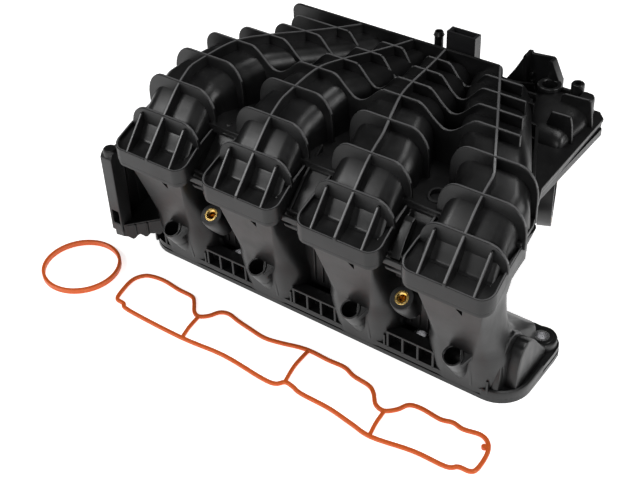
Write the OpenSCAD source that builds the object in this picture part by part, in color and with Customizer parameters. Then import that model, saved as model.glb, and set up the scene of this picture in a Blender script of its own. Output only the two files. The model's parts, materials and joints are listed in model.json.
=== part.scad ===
// Moulded four-runner intake manifold.
// X runs along the row of ports, Y from the injector side back to the plenum, Z up from the head face.
// The origin is on the head face, midway between the two inner ports, just behind the flange's front edge.

/* [Ports and runners] */
// Distance between neighbouring ports
port_pitch = 96; // [95:0.5:98]
// Port opening, along the row
port_w = 62; // [56:1:64]
// Port opening, across the row
port_d = 36; // [32:1:37]
// Middle of the ports, behind the flange's front edge
port_y = 41; // [40:0.5:42]
// Wall thickness of the moulding
wall = 3.5; // [3:0.1:4]
// Width of a runner, outside
runner_w = 69; // [69:0.5:71]
// Width of the pad at the front of a runner
pad_w = 82; // [80:1:86]
// Thickness of a rib
rib_t = 3; // [2.5:0.1:3.5]

/* [Head flange] */
// Thickness of the head flange plate
flange_t = 12; // [11:0.5:14]
// Back edge of the head flange, behind the origin
flange_d = 84; // [82:1:88]
// Half length of the head flange
flange_half = 193; // [192:1:200]
// Height of the ribbed front edge
front_edge_h = 27; // [25:1:29]
// Height of a compression limiter and its boss
limiter_h = 18; // [17:0.5:20]
// Bore of a compression limiter
limiter_bore_d = 8.6; // [8.4:0.1:9]
// Outer diameter of a compression limiter
limiter_d = 13; // [12.5:0.1:13.5]
// Distance of the two front bolts from the middle
front_bolt_x = 96; // [95:0.5:98]
// Front bolts, behind the front edge
front_bolt_y = 19; // [18.5:0.1:19.5]
// Distance of the two end bolts from the middle
end_bolt_x = 178; // [177:0.5:180]
// Rear row of bolts, behind the front edge
rear_bolt_y = 72; // [71.5:0.1:72.5]

/* [Injectors and fuel rail] */
// Injector pocket bore
injector_bore_d = 14; // [13.5:0.1:14.2]
// Injector pocket outside
injector_boss_d = 17.4; // [17:0.1:18]
// Lean of the injector towards the front
injector_lean = 33; // [32:0.5:34]
// Height of the injector pocket's mouth
injector_mouth_z = 46; // [45:0.5:47]
// Fuel rail insert, outside
rail_insert_d = 12; // [11.5:0.1:12.5]
// Fuel rail insert, thread bore (M6, tapping size)
rail_thread_d = 5; // [4.9:0.1:5.2]
// Fuel rail insert, length
rail_insert_len = 16; // [14:0.5:18]

/* [Plenum and throttle inlet] */
// Height of the seam between upper shell and runner body
seam_z = 148; // [147:0.5:149]
// Inlet bore
inlet_bore_d = 62; // [58:1:62]
// Throttle flange diameter
inlet_flange_d = 90; // [89:0.5:92]
// Bolt circle of the throttle flange
inlet_bolt_circle = 79.6; // [79:0.1:80.4]
// Turn of the inlet from the row towards the back
inlet_turn = 22; // [20:1:24]

/* [Flaps] */
// Flap shaft diameter
shaft_d = 8; // [7.5:0.1:8]
// Gap between shaft and bush, at the radius
shaft_gap = 0.05; // [0.03:0.01:0.08]
// Height of the flap shaft
shaft_z = 20; // [20:0.5:21]
// Flap length across the shaft
flap_len = 33; // [30:0.5:33]
// Flap thickness
flap_t = 1.6; // [1.4:0.1:1.8]

/* [Hidden] */
$fn = 48;
eps = 0.01;
port_x = [for (k = [0:3]) (k - 1.5) * port_pitch];
runner_bore_w = runner_w - 2 * wall;
fan_start = 35;
fan_end = 185;
fan_rate = [0.0036, 0.0046, 0.0046, 0.0036];
seam_t = 4;
roof_end = 180;
rail_boss_d = 21;
rail_boss_len = 26;
rail_web_w = port_pitch - runner_w + 2;
bush_d = 12;
bush_len = 14;
port_corner_r = 5;
flange_front = -1.5;
injector_mouth_y = -13;
injector_len = 46;
rail_face = [front_bolt_x, -11, 80];
inlet_face = [128, 183, 93];
inlet_len = 34;
inlet_flange_t = 12;
gasket_centre = [15.5, -57, 0];
ring_centre = [-217, -62, 0];
gasket_h = 3;
gasket_w = 3.6;
ring_h = 5;
ring_r = 36;
groove_r = 34;
groove_gap = 0.4;
lever_x = -flange_half - 14;
shaft_end = 181.5;
bracket_t = 10;
bracket_web_t = 2.5;
dome_start = 104;
dome_end = 181;

// Crown of the runners: outside skin, then the passage below it, as (Y, Z)
crown = [[-31, 112], [-31, 123], [-25, 125], [3, 152.5], [25, 172], [52, 184.5], [74, 190],
         [99, 187.5], [128, 181.5], [155, 176.5], [roof_end, 172]];
crown_inside = [[-23, 111], [-22, 122], [5.5, 148], [27.5, 168], [53, 180.8], [74, 186.3],
                [98.5, 183.9], [127.5, 178], [154.5, 173], [roof_end - wall, 169]];
// Top line of the ribs, as (Y, Z)
rib_line = [[-31, 130.7], [-3.5, 159], [20, 179.5], [49, 192.7], [73.5, 199], [100, 196],
            [130, 190], [157, 185], [roof_end, 181.6]];
// Seam between the upper shell and the runner body, as (Y, Z)
seam = [[-31, 112], [-22, 114], [4, 138], [26, seam_z], [205, seam_z]];
rib_rows = [-3.5, 20, 49, 73.5, 100, 130, 157];
rib_tops = [159, 179.5, 192.7, 199, 196, 190, 185];
first_joined_row = 3;

// Sweeps a (Y, Z) outline along X
module along_x(x0, x1) {
    translate([x0, 0, 0]) rotate([90, 0, 90]) linear_extrude(height = x1 - x0) children();
}

// Sweeps an (X, Z) outline along Y
module along_y(y0, y1) {
    translate([0, y1, 0]) rotate([90, 0, 0]) linear_extrude(height = y1 - y0) children();
}

function runner_at(k, y) = port_x[k] * (1 - max(0, y - fan_start) * fan_rate[k]);

// Plan of one runner: straight at the front, then leaning in towards the plenum
module runner_plan(k, half, y0, y1) {
    polygon([[port_x[k] - half, y0], [port_x[k] + half, y0], [port_x[k] + half, fan_start],
             [runner_at(k, fan_end) + half, y1], [runner_at(k, fan_end) - half, y1],
             [port_x[k] - half, fan_start]]);
}

module rounded_box(length, depth, r) {
    square([length - 2 * r, depth], center = true);
    square([length, depth - 2 * r], center = true);
    for (sx = [-1, 1], sy = [-1, 1]) translate([sx * (length / 2 - r), sy * (depth / 2 - r)]) circle(r = r);
}

// ---- upper shell ----

module above_seam() {
    along_x(-220, 220) polygon(concat(seam, [[205, 260], [-40, 260], [-40, 112]]));
}

module runner_outside(k) {
    intersection() {
        along_x(-200, 200) polygon(concat(crown, [[roof_end, seam_z], [26, seam_z], [4, 138], [-22, 114]]));
        translate([0, 0, 100]) linear_extrude(height = 120) runner_plan(k, runner_w / 2, -40, fan_end);
    }
}

module pad(k) {
    pad_side = [[-31, 112], [-31, 123], [-25, 125], [3, 152.5], [3, 137], [-22, 114]];
    along_x(port_x[k] - pad_w / 2, port_x[k] + pad_w / 2) polygon(pad_side);
}

function rib_outline(x, top, low) = [[x - 37, low], [x - 37, top - 15], [x - 34, top - 7], [x - 26, top],
                                     [x + 26, top], [x + 34, top - 7], [x + 37, top - 15], [x + 37, low]];

module cross_rib(row) {
    y = rib_rows[row];
    low = y < 5 ? 134 : (y < 26 ? 145 : seam_z);
    along_y(y - rib_t / 2, y + rib_t / 2) {
        for (k = [0:3]) polygon(rib_outline(runner_at(k, y), rib_tops[row], low));
        if (row >= first_joined_row)
            polygon([[runner_at(0, y), low], [runner_at(0, y), rib_tops[row] - 16],
                     [runner_at(3, y), rib_tops[row] - 16], [runner_at(3, y), low]]);
    }
}

module spine_rib(k) {
    intersection() {
        along_x(-200, 200) polygon(concat(rib_line, [[roof_end, seam_z], [26, seam_z], [4, 139], [-22, 115]]));
        translate([0, 0, 100]) linear_extrude(height = 120) runner_plan(k, rib_t / 2, -31, fan_end);
    }
}

module pad_rib(x) {
    along_x(x - rib_t / 2, x + rib_t / 2)
        polygon([[-31, 122], [-31, 130.5], [-3.5, 158.8], [-3.5, 138]]);
}

module seam_plan() {
    polygon([[-170, 3], [-150, 205], [152, 205], [158, 197], [158, 84], [176, 40], [176, 3]]);
}

module rear_wall() {
    translate([-143, roof_end - rib_t, seam_z]) cube([215, rib_t, 182 - seam_z]);
}

module side_dome() {
    along_y(dome_start, dome_end)
        polygon([[104, seam_z], [104, 180], [120, 184], [136, 180], [147, 168], [152, seam_z]]);
}

module side_dome_inside() {
    along_y(dome_start + wall, dome_end - wall)
        polygon([[108, 140], [108, 177], [120, 180.5], [134, 177], [143.5, 166], [148.5, 140]]);
}

module upper_seam_flange() {
    intersection() {
        along_x(-200, 200)
            polygon([[3, 137], [3, 142], [26, seam_z + seam_t], [205, seam_z + seam_t], [205, seam_z], [26, seam_z]]);
        translate([0, 0, 100]) linear_extrude(height = 80) seam_plan();
    }
}

module runner_passage_top(k) {
    intersection() {
        along_x(-200, 200)
            polygon(concat(crown_inside, [[roof_end - wall, 100], [40, 100], [20, 100]]));
        translate([0, 0, 90]) linear_extrude(height = 120) runner_plan(k, runner_bore_w / 2, -40, fan_end);
    }
}

module upper_shell() {
    color([0.07, 0.07, 0.075]) difference() {
        intersection() {
            union() {
                for (k = [0:3]) {
                    runner_outside(k);
                    pad(k);
                    spine_rib(k);
                    for (side = [-1, 1]) pad_rib(port_x[k] + side * 23.4);
                }
                for (row = [0:len(rib_rows) - 1]) cross_rib(row);
                rear_wall();
                upper_seam_flange();
                side_dome();
            }
            above_seam();
        }
        for (k = [0:3]) runner_passage_top(k);
        side_dome_inside();
        translate([vent_at.x, vent_at.y, 140]) cylinder(d = vent_bore_d, h = 60);
        translate([nipple_at.x, nipple_at.y, 140]) cylinder(d = nipple_bore_d, h = 60);
        translate([sensor_at.x, sensor_at.y, 140]) cylinder(d = sensor_probe_d + 1.6, h = 60);
        translate([screw_at.x, screw_at.y, 140]) cylinder(d = screw_d, h = 60);
    }
}

// ---- runner body with head flange ----

module below_seam() {
    along_x(-220, 220) polygon(concat(seam, [[205, -1], [-40, -1], [-40, 112]]));
}

module neck_outside(k) {
    half = runner_w / 2;
    along_x(port_x[k] - half, port_x[k] + half)
        polygon([[flange_front, 0], [-8, 52], [-22, 104], [-31, 108], [-31, 112], [-22, 114], [4, 138], [26, seam_z],
                 [54, seam_z], [45, 142], [36, 122], [36, 97], [50, 62], [63, 40], [63, 0]]);
}

module neck_passage(k) {
    half = runner_bore_w / 2;
    along_x(port_x[k] - half, port_x[k] + half)
        polygon(concat([[23, flange_t], [11, 18], [0, 50], [-17, 104], [-23, 112], [-23, 118], [50, 152]],
                       [[50, seam_z], [41, 142], [32, 122], [32, 96], [46, 62], [59, 40], [59, flange_t]]));
}

module flange_plan() {
    r_front = 28;
    r_end = 15;
    square_half = flange_half - r_front;
    translate([-square_half, flange_front]) square([2 * square_half, flange_d - flange_front]);
    for (side = [-1, 1]) {
        translate([side * square_half, r_front + flange_front]) circle(r = r_front);
        translate([side * (flange_half - r_front / 2), 50]) square([r_front, 44], center = true);
        translate([side * end_bolt_x, rear_bolt_y]) circle(r = r_end);
    }
}

module lattice_pockets() {
    for (gap = [-1:1], i = [-1:1])
        translate([gap * port_pitch + i * 13.5 - 5.5, flange_front - 1, 13.5]) cube([11, 7.5, 11]);
}

module front_edge() {
    for (gap = [-1:1]) translate([gap * port_pitch - 22, flange_front, flange_t - eps])
        cube([44, 10, front_edge_h - flange_t]);
}

module limiter_boss(x, y) {
    translate([x, y, 0]) cylinder(d = limiter_d + 7, h = limiter_h);
}

// Boss of one fuel rail insert, on a web across the gap between two necks
module rail_boss(side) {
    translate([side * rail_face.x, rail_face.y, rail_face.z]) rotate([injector_lean, 0, 0])
        translate([0, 0, -rail_boss_len]) cylinder(d = rail_boss_d, h = rail_boss_len);
    translate([side * rail_face.x - rail_web_w / 2, 0, 50]) cube([rail_web_w, rib_t, 68]);
}

module limiter_places() {
    for (side = [-1, 1]) {
        translate([side * front_bolt_x, front_bolt_y, 0]) children();
        translate([side * end_bolt_x, rear_bolt_y, 0]) children();
    }
    translate([0, rear_bolt_y, 0]) children();
}

module injector_place(k) {
    translate([port_x[k], injector_mouth_y, injector_mouth_z]) rotate([injector_lean, 0, 0]) children();
}

module shaft_tunnel() {
    along_x(-flange_half, flange_half - 1)
        polygon([[29, flange_t - eps], [29, 27], [34, 32], [48, 32], [53, 27], [53, flange_t - eps]]);
}

module lower_seam_flange() {
    intersection() {
        along_x(-200, 200)
            polygon([[3, 133], [26, seam_z - seam_t], [205, seam_z - seam_t], [205, seam_z], [26, seam_z], [3, 137]]);
        translate([0, 0, 100]) linear_extrude(height = 80) seam_plan();
    }
}

module plenum_window() {
    translate([0, 0, 100]) linear_extrude(height = 60)
        polygon([[-120, 132], [-104, 176], [104, 176], [113, 132]]);
    translate([109, 110, 100]) cube([34, 67, 60]);
}

// Centre line of one port's seal bead, drawn round the port with a notch for a bolt
module bead_area(grow) {
    for (k = [0:3]) difference() {
        translate([port_x[k] + (k == 0 ? 4 : (k == 3 ? -4 : 0)), 0])
            rounded_box((k == 0 || k == 3 ? port_pitch - 8 : port_pitch) + grow, 46 + grow, 9 + grow / 2);
        for (side = [-1, 1]) translate([side * front_bolt_x, -22]) circle(r = 13.5 - grow / 2);
        translate([0, 31]) circle(r = 13.5 - grow / 2);
    }
}

module port_windows(shrink) {
    for (k = [0:3]) intersection() {
        bead_area(-shrink);
        translate([port_x[k] + (k == 0 ? 4 : (k == 3 ? -4 : 0)), 0])
            rounded_box((k == 0 || k == 3 ? port_pitch - 8 : port_pitch) - shrink, 46 - shrink, 9);
    }
}

module seal_bead(w, h) {
    linear_extrude(height = h) difference() {
        bead_area(w);
        port_windows(w);
    }
}

module runner_body() {
    color([0.06, 0.06, 0.065]) difference() {
        union() {
            intersection() {
                union() {
                    for (k = [0:3]) neck_outside(k);
                    lower_seam_flange();
                }
                below_seam();
            }
            linear_extrude(height = flange_t) flange_plan();
            front_edge();
            shaft_tunnel();
            limiter_boss(front_bolt_x, front_bolt_y);
            limiter_boss(-front_bolt_x, front_bolt_y);
            limiter_boss(end_bolt_x, rear_bolt_y);
            limiter_boss(-end_bolt_x, rear_bolt_y);
            limiter_boss(0, rear_bolt_y);
            for (side = [-1, 1]) rail_boss(side);
            for (k = [0:3]) injector_place(k)
                translate([0, 0, -injector_len]) cylinder(d = injector_boss_d, h = injector_len);
        }
        for (k = [0:3]) {
            neck_passage(k);
            translate([port_x[k], port_y, -1]) linear_extrude(height = 40) rounded_box(port_w, port_d, port_corner_r);
            injector_place(k) translate([0, 0, -injector_len]) cylinder(d = injector_bore_d, h = injector_len + 1);
        }
        lattice_pockets();
        plenum_window();
        limiter_places() translate([0, 0, -1]) cylinder(d = limiter_d, h = limiter_h + 30);
        for (side = [-1, 1])
            translate([side * rail_face.x, rail_face.y, rail_face.z]) rotate([injector_lean, 0, 0])
                translate([0, 0, -rail_insert_len]) cylinder(d = rail_insert_d, h = 40);
        translate([-flange_half - 1, port_y, shaft_z]) rotate([0, 90, 0]) cylinder(d = bush_d, h = 2 * flange_half - 4);
        translate([0, port_y, -1]) seal_bead(gasket_w + 2 * groove_gap, 1 + gasket_h * 0.7);
        translate([vent_at.x, vent_at.y, 140]) cylinder(d = vent_bore_d, h = 20);
        translate([nipple_at.x, nipple_at.y, 140]) cylinder(d = nipple_bore_d, h = 20);
        translate([sensor_at.x, sensor_at.y, 140]) cylinder(d = sensor_probe_d + 1.6, h = 20);
        translate([screw_at.x, screw_at.y, 140]) cylinder(d = screw_d, h = 20);
    }
}

// ---- plenum pan ----

module pan_plan_outline(inset) {
    polygon([[-150 + inset, seam_z - seam_t], [118 - inset, seam_z - seam_t], [112 - inset, 118],
             [102 - inset, 62], [92 - inset, 16 + inset], [80 - inset, inset],
             [-116 + inset, inset], [-136 + inset, 14 + inset], [-142 + inset, 60]]);
}

module pan_side_outline(inset) {
    polygon([[96 + inset, seam_z - seam_t], [192 - inset, seam_z - seam_t], [194 - inset, 60],
             [188 - inset, 12 + inset], [176 - inset, inset], [124 + inset, inset],
             [108 + inset, 14 + inset], [99 + inset, 60]]);
}

module pan_solid(inset) {
    intersection() {
        along_y(90, 200) pan_plan_outline(inset);
        along_x(-160, 160) pan_side_outline(inset);
    }
}

module inlet_place() {
    translate(inlet_face) rotate([0, 0, inlet_turn]) rotate([0, 90, 0]) children();
}

module plenum_pan() {
    color([0.06, 0.06, 0.065]) difference() {
        union() {
            difference() {
                pan_solid(0);
                pan_solid(wall);
            }
            difference() {
                translate([0, 0, seam_z - seam_t - 6]) linear_extrude(height = 6)
                    polygon([[-156, 86], [-150, 200], [152, 200], [158, 193], [158, 86]]);
                translate([0, 0, seam_z - seam_t - 7]) linear_extrude(height = 8)
                    polygon([[-142, 99], [-142, 189], [112, 189], [112, 99]]);
            }
            inlet_place() translate([0, 0, -inlet_len]) cylinder(d = inlet_bore_d + 4 * wall, h = 14);
        }
        intersection() {
            inlet_place() translate([0, 0, -inlet_len - 30]) cylinder(d = inlet_bore_d + wall, h = 60);
            translate([-150, 90, 0]) cube([300, 120, 144]);
        }
        inlet_place() translate([0, 0, -inlet_len + 4]) cylinder(d = inlet_bore_d + 2 * wall, h = 60);
        inlet_place() translate([0, 0, -inlet_flange_t]) cylinder(d = inlet_flange_d, h = 30);
    }
}

// ---- inlet duct with throttle flange ----

module throttle_insert_places() {
    for (i = [0:3]) rotate([0, 0, 45 + 90 * i]) translate([inlet_bolt_circle / 2, 0, 0]) children();
}

module inlet_duct() {
    color([0.07, 0.07, 0.075]) inlet_place() difference() {
        union() {
            translate([0, 0, -inlet_len + 4]) cylinder(d = inlet_bore_d + 2 * wall, h = inlet_len - 4);
            translate([0, 0, -inlet_flange_t]) cylinder(d = inlet_flange_d, h = inlet_flange_t);
        }
        translate([0, 0, -inlet_len]) cylinder(d = inlet_bore_d, h = inlet_len + 1);
        translate([0, 0, -2.6]) difference() {
            cylinder(r = groove_r + 2, h = 3);
            translate([0, 0, -1]) cylinder(r = groove_r - 1, h = 5);
        }
        throttle_insert_places() translate([0, 0, -10]) cylinder(d = 6.4, h = 11);
    }
}

module throttle_inserts() {
    color([0.78, 0.6, 0.25]) inlet_place() throttle_insert_places() difference() {
        translate([0, 0, -10]) cylinder(d = 6.4, h = 10);
        translate([0, 0, -11]) cylinder(d = 4.2, h = 12);
    }
}

// ---- side bracket, a pocket at the left end with a window round the shaft ----

module side_bracket() {
    x1 = -flange_half - eps;
    color([0.06, 0.06, 0.065]) difference() {
        along_x(x1 - bracket_t, x1)
            polygon([[-30, 116], [-22, 122], [-8, 122], [30, 120], [30, 110], [60, 40], [60, 0],
                     [20, 0], [4, 5], [-20, 22], [-30, 36]]);
        along_x(x1 - bracket_t + bracket_web_t, x1 + 1)
            polygon([[-20, 110], [22, 108], [25, 100], [25, 8], [6, 14], [-20, 32]]);
        along_x(x1 - bracket_t - 1, x1 + 1)
            polygon([[30, 88], [48, 44], [54, 32], [54, 8], [30, 8]]);
    }
    color([0.06, 0.06, 0.065]) along_x(x1, -port_pitch * 1.5 - runner_w / 2)
        polygon([[-22, 110], [-22, 104], [26, 104], [26, 110]]);
}

// ---- inserts and limiters ----

module rail_insert(side) {
    color([0.8, 0.62, 0.26]) translate([side * rail_face.x, rail_face.y, rail_face.z])
        rotate([injector_lean, 0, 0]) difference() {
            translate([0, 0, -rail_insert_len]) cylinder(d = rail_insert_d, h = rail_insert_len);
            translate([0, 0, -rail_insert_len + 2]) cylinder(d = rail_thread_d, h = rail_insert_len);
        }
}

module limiter(x, y) {
    color([0.72, 0.73, 0.74]) translate([x, y, 0]) difference() {
        cylinder(d = limiter_d, h = limiter_h);
        translate([0, 0, -1]) cylinder(d = limiter_bore_d, h = limiter_h + 2);
    }
}

// ---- small fittings at the back ----

deck_z = seam_z + seam_t;
vent_at = [108, 194, deck_z];
vent_d = 18;
vent_bore_d = 13;
nipple_at = [-1, 197, deck_z];
nipple_d = 8;
nipple_bore_d = 5;
sensor_at = [24, 194, deck_z];
sensor_probe_d = 9;
sensor_probe_len = 7.5;
screw_at = [48, 196, deck_z];
screw_d = 5;

module vent_port() {
    color([0.07, 0.07, 0.075]) translate(vent_at) difference() {
        union() {
            cylinder(d = vent_d, h = 16);
            cylinder(d = vent_d + 4, h = 3);
        }
        translate([0, 0, -1]) cylinder(d = vent_bore_d, h = 18);
    }
}

module vacuum_nipple() {
    color([0.07, 0.07, 0.075]) translate(nipple_at) difference() {
        union() {
            cylinder(d = nipple_d, h = 34);
            cylinder(d = 12, h = 4);
        }
        translate([0, 0, -1]) cylinder(d = nipple_bore_d, h = 36);
    }
}

module tower_bracket() {
    color([0.07, 0.07, 0.075]) {
        translate([84, 206, seam_z - seam_t]) cube([36, 5, 48]);
        translate([84, 205 + eps, seam_z - seam_t]) cube([36, 1, 8]);
    }
}

module pressure_sensor() {
    color([0.03, 0.03, 0.03]) translate(sensor_at) difference() {
        union() {
            translate([-16, -7, 0]) cube([32, 16, 14]);
            translate([8, -6, 0]) cube([24, 15, 5]);
            translate([-14, -3, 14 - eps]) cube([28, 10, 26]);
            translate([0, 0, -sensor_probe_len]) cylinder(d = sensor_probe_d, h = sensor_probe_len + eps);
        }
        translate([-11, -1, 18]) cube([22, 6, 30]);
        translate([screw_at.x - sensor_at.x, screw_at.y - sensor_at.y, -1]) cylinder(d = screw_d, h = 20);
    }
}

module sensor_seal() {
    color([0.75, 0.2, 0.1]) translate([sensor_at.x, sensor_at.y, seam_z]) difference() {
        cylinder(d = sensor_probe_d + 1.6, h = 1.8);
        translate([0, 0, -1]) cylinder(d = sensor_probe_d, h = 4);
    }
}

module sensor_screw() {
    color([0.6, 0.6, 0.62]) translate(screw_at) {
        translate([0, 0, 5]) cylinder(d = 9, h = 3.6);
        translate([0, 0, -7]) cylinder(d = screw_d, h = 12 + eps);
    }
}

// ---- flaps ----

module on_shaft() {
    translate([0, port_y, shaft_z]) rotate([0, 90, 0]) children();
}

module bush(x, length) {
    color([0.75, 0.68, 0.5]) translate([x - length / 2, 0, 0]) on_shaft() difference() {
        cylinder(d = bush_d, h = length);
        translate([0, 0, -1]) cylinder(d = shaft_d + 2 * shaft_gap, h = length + 2);
    }
}

module flap_plate_space(k, length) {
    translate([port_x[k] - length / 2, port_y - flap_t / 2, shaft_z - flap_len / 2]) cube([length, flap_t, flap_len]);
}

module screw_places(k) {
    for (side = [-1, 1]) translate([port_x[k] + side * 16, port_y, shaft_z]) rotate([-90, 0, 0]) children();
}

module flap_shaft() {
    color([0.62, 0.63, 0.65]) difference() {
        translate([lever_x - 6, 0, 0]) on_shaft() cylinder(d = shaft_d, h = shaft_end - lever_x + 6);
        for (k = [0:3]) {
            flap_plate_space(k, port_w - 2.4);
            screw_places(k) {
                translate([0, 0, -6]) cylinder(d = 2.8, h = 12);
                translate([0, 0, 2.9]) cylinder(d = 5.4, h = 4);
            }
        }
        translate([lever_x - 7, port_y + 2.6, shaft_z - 6]) cube([11, 4, 12]);
    }
}

module flap(k) {
    color([0.72, 0.6, 0.3]) difference() {
        flap_plate_space(k, port_w - 2.4);
        screw_places(k) translate([0, 0, -6]) cylinder(d = 2.8, h = 12);
    }
}

module flap_screws() {
    color([0.6, 0.6, 0.62]) for (k = [0:3]) screw_places(k) {
        translate([0, 0, -3.6]) cylinder(d = 2.8, h = 6.5 + eps);
        translate([0, 0, 2.9]) cylinder(d = 5.4, h = 1.5);
    }
}

lever_arm = 24;

module flap_lever() {
    color([0.35, 0.36, 0.38]) difference() {
        along_x(lever_x - 2, lever_x + 2) {
            translate([port_y, shaft_z]) circle(d = 16);
            translate([port_y - lever_arm, shaft_z]) circle(d = 11);
            translate([port_y - lever_arm, shaft_z - 5]) square([lever_arm, 10]);
        }
        difference() {
            translate([lever_x - 5, 0, 0]) on_shaft() cylinder(d = shaft_d, h = 10);
            translate([lever_x - 7, port_y + 2.6, shaft_z - 6]) cube([14, 4, 12]);
        }
        translate([lever_x - 5, port_y - lever_arm, shaft_z]) rotate([0, 90, 0]) cylinder(d = 5, h = 10);
    }
}

module lever_ball_stud() {
    color([0.7, 0.7, 0.72]) translate([lever_x, port_y - lever_arm, shaft_z]) rotate([0, 90, 0])
        rotate_extrude() {
            intersection() {
                translate([0, -11]) circle(d = 8);
                translate([0, -16]) square([6, 10]);
            }
            translate([0, -9]) square([2.2, 7]);
            translate([0, -3.5]) square([2.5, 5.5]);
        }
}

module lever_nut() {
    color([0.6, 0.6, 0.62]) translate([lever_x - 5, 0, 0]) on_shaft() difference() {
        cylinder(d = 13, h = 3, $fn = 6);
        translate([0, 0, -1]) cylinder(d = shaft_d, h = 5);
    }
}

module shaft_seal() {
    color([0.05, 0.05, 0.05]) translate([-flange_half - 2.5, 0, 0]) on_shaft() difference() {
        cylinder(d = 15, h = 2.5);
        translate([0, 0, -1]) cylinder(d = shaft_d + 0.4, h = 5);
    }
}

// ---- loose gaskets ----

module head_gasket() {
    color([0.9, 0.36, 0.13]) translate(gasket_centre) rotate([0, 0, 180]) seal_bead(gasket_w, gasket_h);
}

module throttle_gasket() {
    color([0.9, 0.36, 0.13]) translate(ring_centre) difference() {
        cylinder(r = ring_r, h = ring_h);
        translate([0, 0, -1]) cylinder(r = ring_r - 3, h = ring_h + 2);
    }
}

upper_shell();
runner_body();
plenum_pan();
inlet_duct();
side_bracket();
rail_insert(-1);  // rail_insert_left
rail_insert(1);  // rail_insert_right
limiter(-front_bolt_x, front_bolt_y);  // limiter_front_left
limiter(front_bolt_x, front_bolt_y);  // limiter_front_right
limiter(-end_bolt_x, rear_bolt_y);  // limiter_end_left
limiter(end_bolt_x, rear_bolt_y);  // limiter_end_right
limiter(0, rear_bolt_y);  // limiter_rear
throttle_inserts();
vacuum_nipple();
vent_port();
tower_bracket();
pressure_sensor();
sensor_seal();
sensor_screw();
bush(-flange_half + bush_len / 2, bush_len);  // bush_left
bush(-port_pitch, bush_len);  // bush_1_2
bush(0, bush_len);  // bush_2_3
bush(port_pitch, bush_len);  // bush_3_4
bush(182, 10);  // bush_right
flap_shaft();
flap(0);  // flap_1
flap(1);  // flap_2
flap(2);  // flap_3
flap(3);  // flap_4
flap_screws();
flap_lever();
lever_ball_stud();
lever_nut();
shaft_seal();
head_gasket();
throttle_gasket();
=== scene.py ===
"""Looks of a moulded four-runner intake manifold, built round its fixed CAD frame.

Lengths are in millimetres until a piece is finished, and every piece is then put in metres.
X runs along the row of ports, Y from the injector side back to the plenum, Z up from the head face.
"""

import json
import math

import bmesh
import bpy
from bpy.props import FloatProperty, FloatVectorProperty, PointerProperty
from mathutils import Matrix, Vector


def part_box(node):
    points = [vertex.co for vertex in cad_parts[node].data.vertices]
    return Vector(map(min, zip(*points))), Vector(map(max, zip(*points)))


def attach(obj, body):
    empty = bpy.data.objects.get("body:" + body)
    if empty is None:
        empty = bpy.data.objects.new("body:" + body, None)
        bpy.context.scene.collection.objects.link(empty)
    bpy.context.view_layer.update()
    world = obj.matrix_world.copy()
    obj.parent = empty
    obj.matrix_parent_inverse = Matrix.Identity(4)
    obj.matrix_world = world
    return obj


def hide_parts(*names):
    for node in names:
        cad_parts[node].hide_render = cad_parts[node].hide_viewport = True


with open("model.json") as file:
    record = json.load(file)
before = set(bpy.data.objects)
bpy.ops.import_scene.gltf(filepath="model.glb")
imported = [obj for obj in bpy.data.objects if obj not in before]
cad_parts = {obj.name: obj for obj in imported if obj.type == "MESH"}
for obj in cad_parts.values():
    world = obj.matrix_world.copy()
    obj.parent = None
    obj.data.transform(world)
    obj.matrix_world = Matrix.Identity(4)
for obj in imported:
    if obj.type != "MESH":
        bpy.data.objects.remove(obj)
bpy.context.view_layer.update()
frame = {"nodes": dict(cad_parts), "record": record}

bl_info = {
    "name": "Intake manifold builder",
    "version": (1, 0, 0),
    "blender": (4, 5, 0),
    "location": "View3D > Sidebar > Manifold",
    "description": "Builds the moulded shells, fittings and gaskets of an intake manifold",
    "category": "Add Mesh",
}

MM = 0.001
SHARP_ANGLE = math.radians(30)  # edges sharper than this are rounded
SMOOTH_ANGLE = math.radians(40)  # edges sharper than this stay creased in the shading
CREST_UP = 0.3  # upward part of a normal from which a rib's face counts as its crest, which takes a lighter colour that is partly rubbed wear and partly a painted highlight


# ---- places taken from the frame, in millimetres ----

def mount(name):
    return next(m for m in frame["record"]["mounts"] if m["name"] == name)


def mount_place(name):
    return Vector(mount(name)["pos_m"]) / MM


def mount_axis(name):
    return Vector(mount(name)["axis"]).normalized()


def node_box(name):
    low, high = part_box(name)
    return low / MM, high / MM


PORTS = [mount_place(f"injector_{k}").x for k in (1, 2, 3, 4)]
SHELL_LOW = node_box("upper_shell")[0]
BODY_LOW, BODY_HIGH = node_box("runner_body")
SEAM = 148.0
DECK = 152  # height that the vent and the nipple stand on
FLANGE_FRONT = -1.5
FLANGE_BACK = 84.0
NECK_HALF = 34.5

# Top line of the ribs from the pad's lip over the crown to the rear wall, as (Y, Z)
RIB_LINE = [(-31, 130.7), (-3.5, 159), (20, 179.5), (49, 192.7), (73.5, 199), (100, 196), (130, 190),
            (157, 185), (180, 181.6)]
# Rim of the weld flange beside a runner, as (Y, Z)
RIM_LINE = [(-31, 128.5), (-20, 132.5), (-5, 140), (16, 146.5), (40, 149), (210, 150)]
ROWS = [-3.5, 20, 49, 73.5, 100, 130, 157]
FIRST_JOINED_ROW = 3
ROOF_END = 180.0
FAN_START = 35.0
FAN_RATES = (0.0036, 0.0046, 0.0046, 0.0036)
RIGHT_ENDS = {3: 144, 4: 132, 5: 119, 6: 102}


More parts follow.
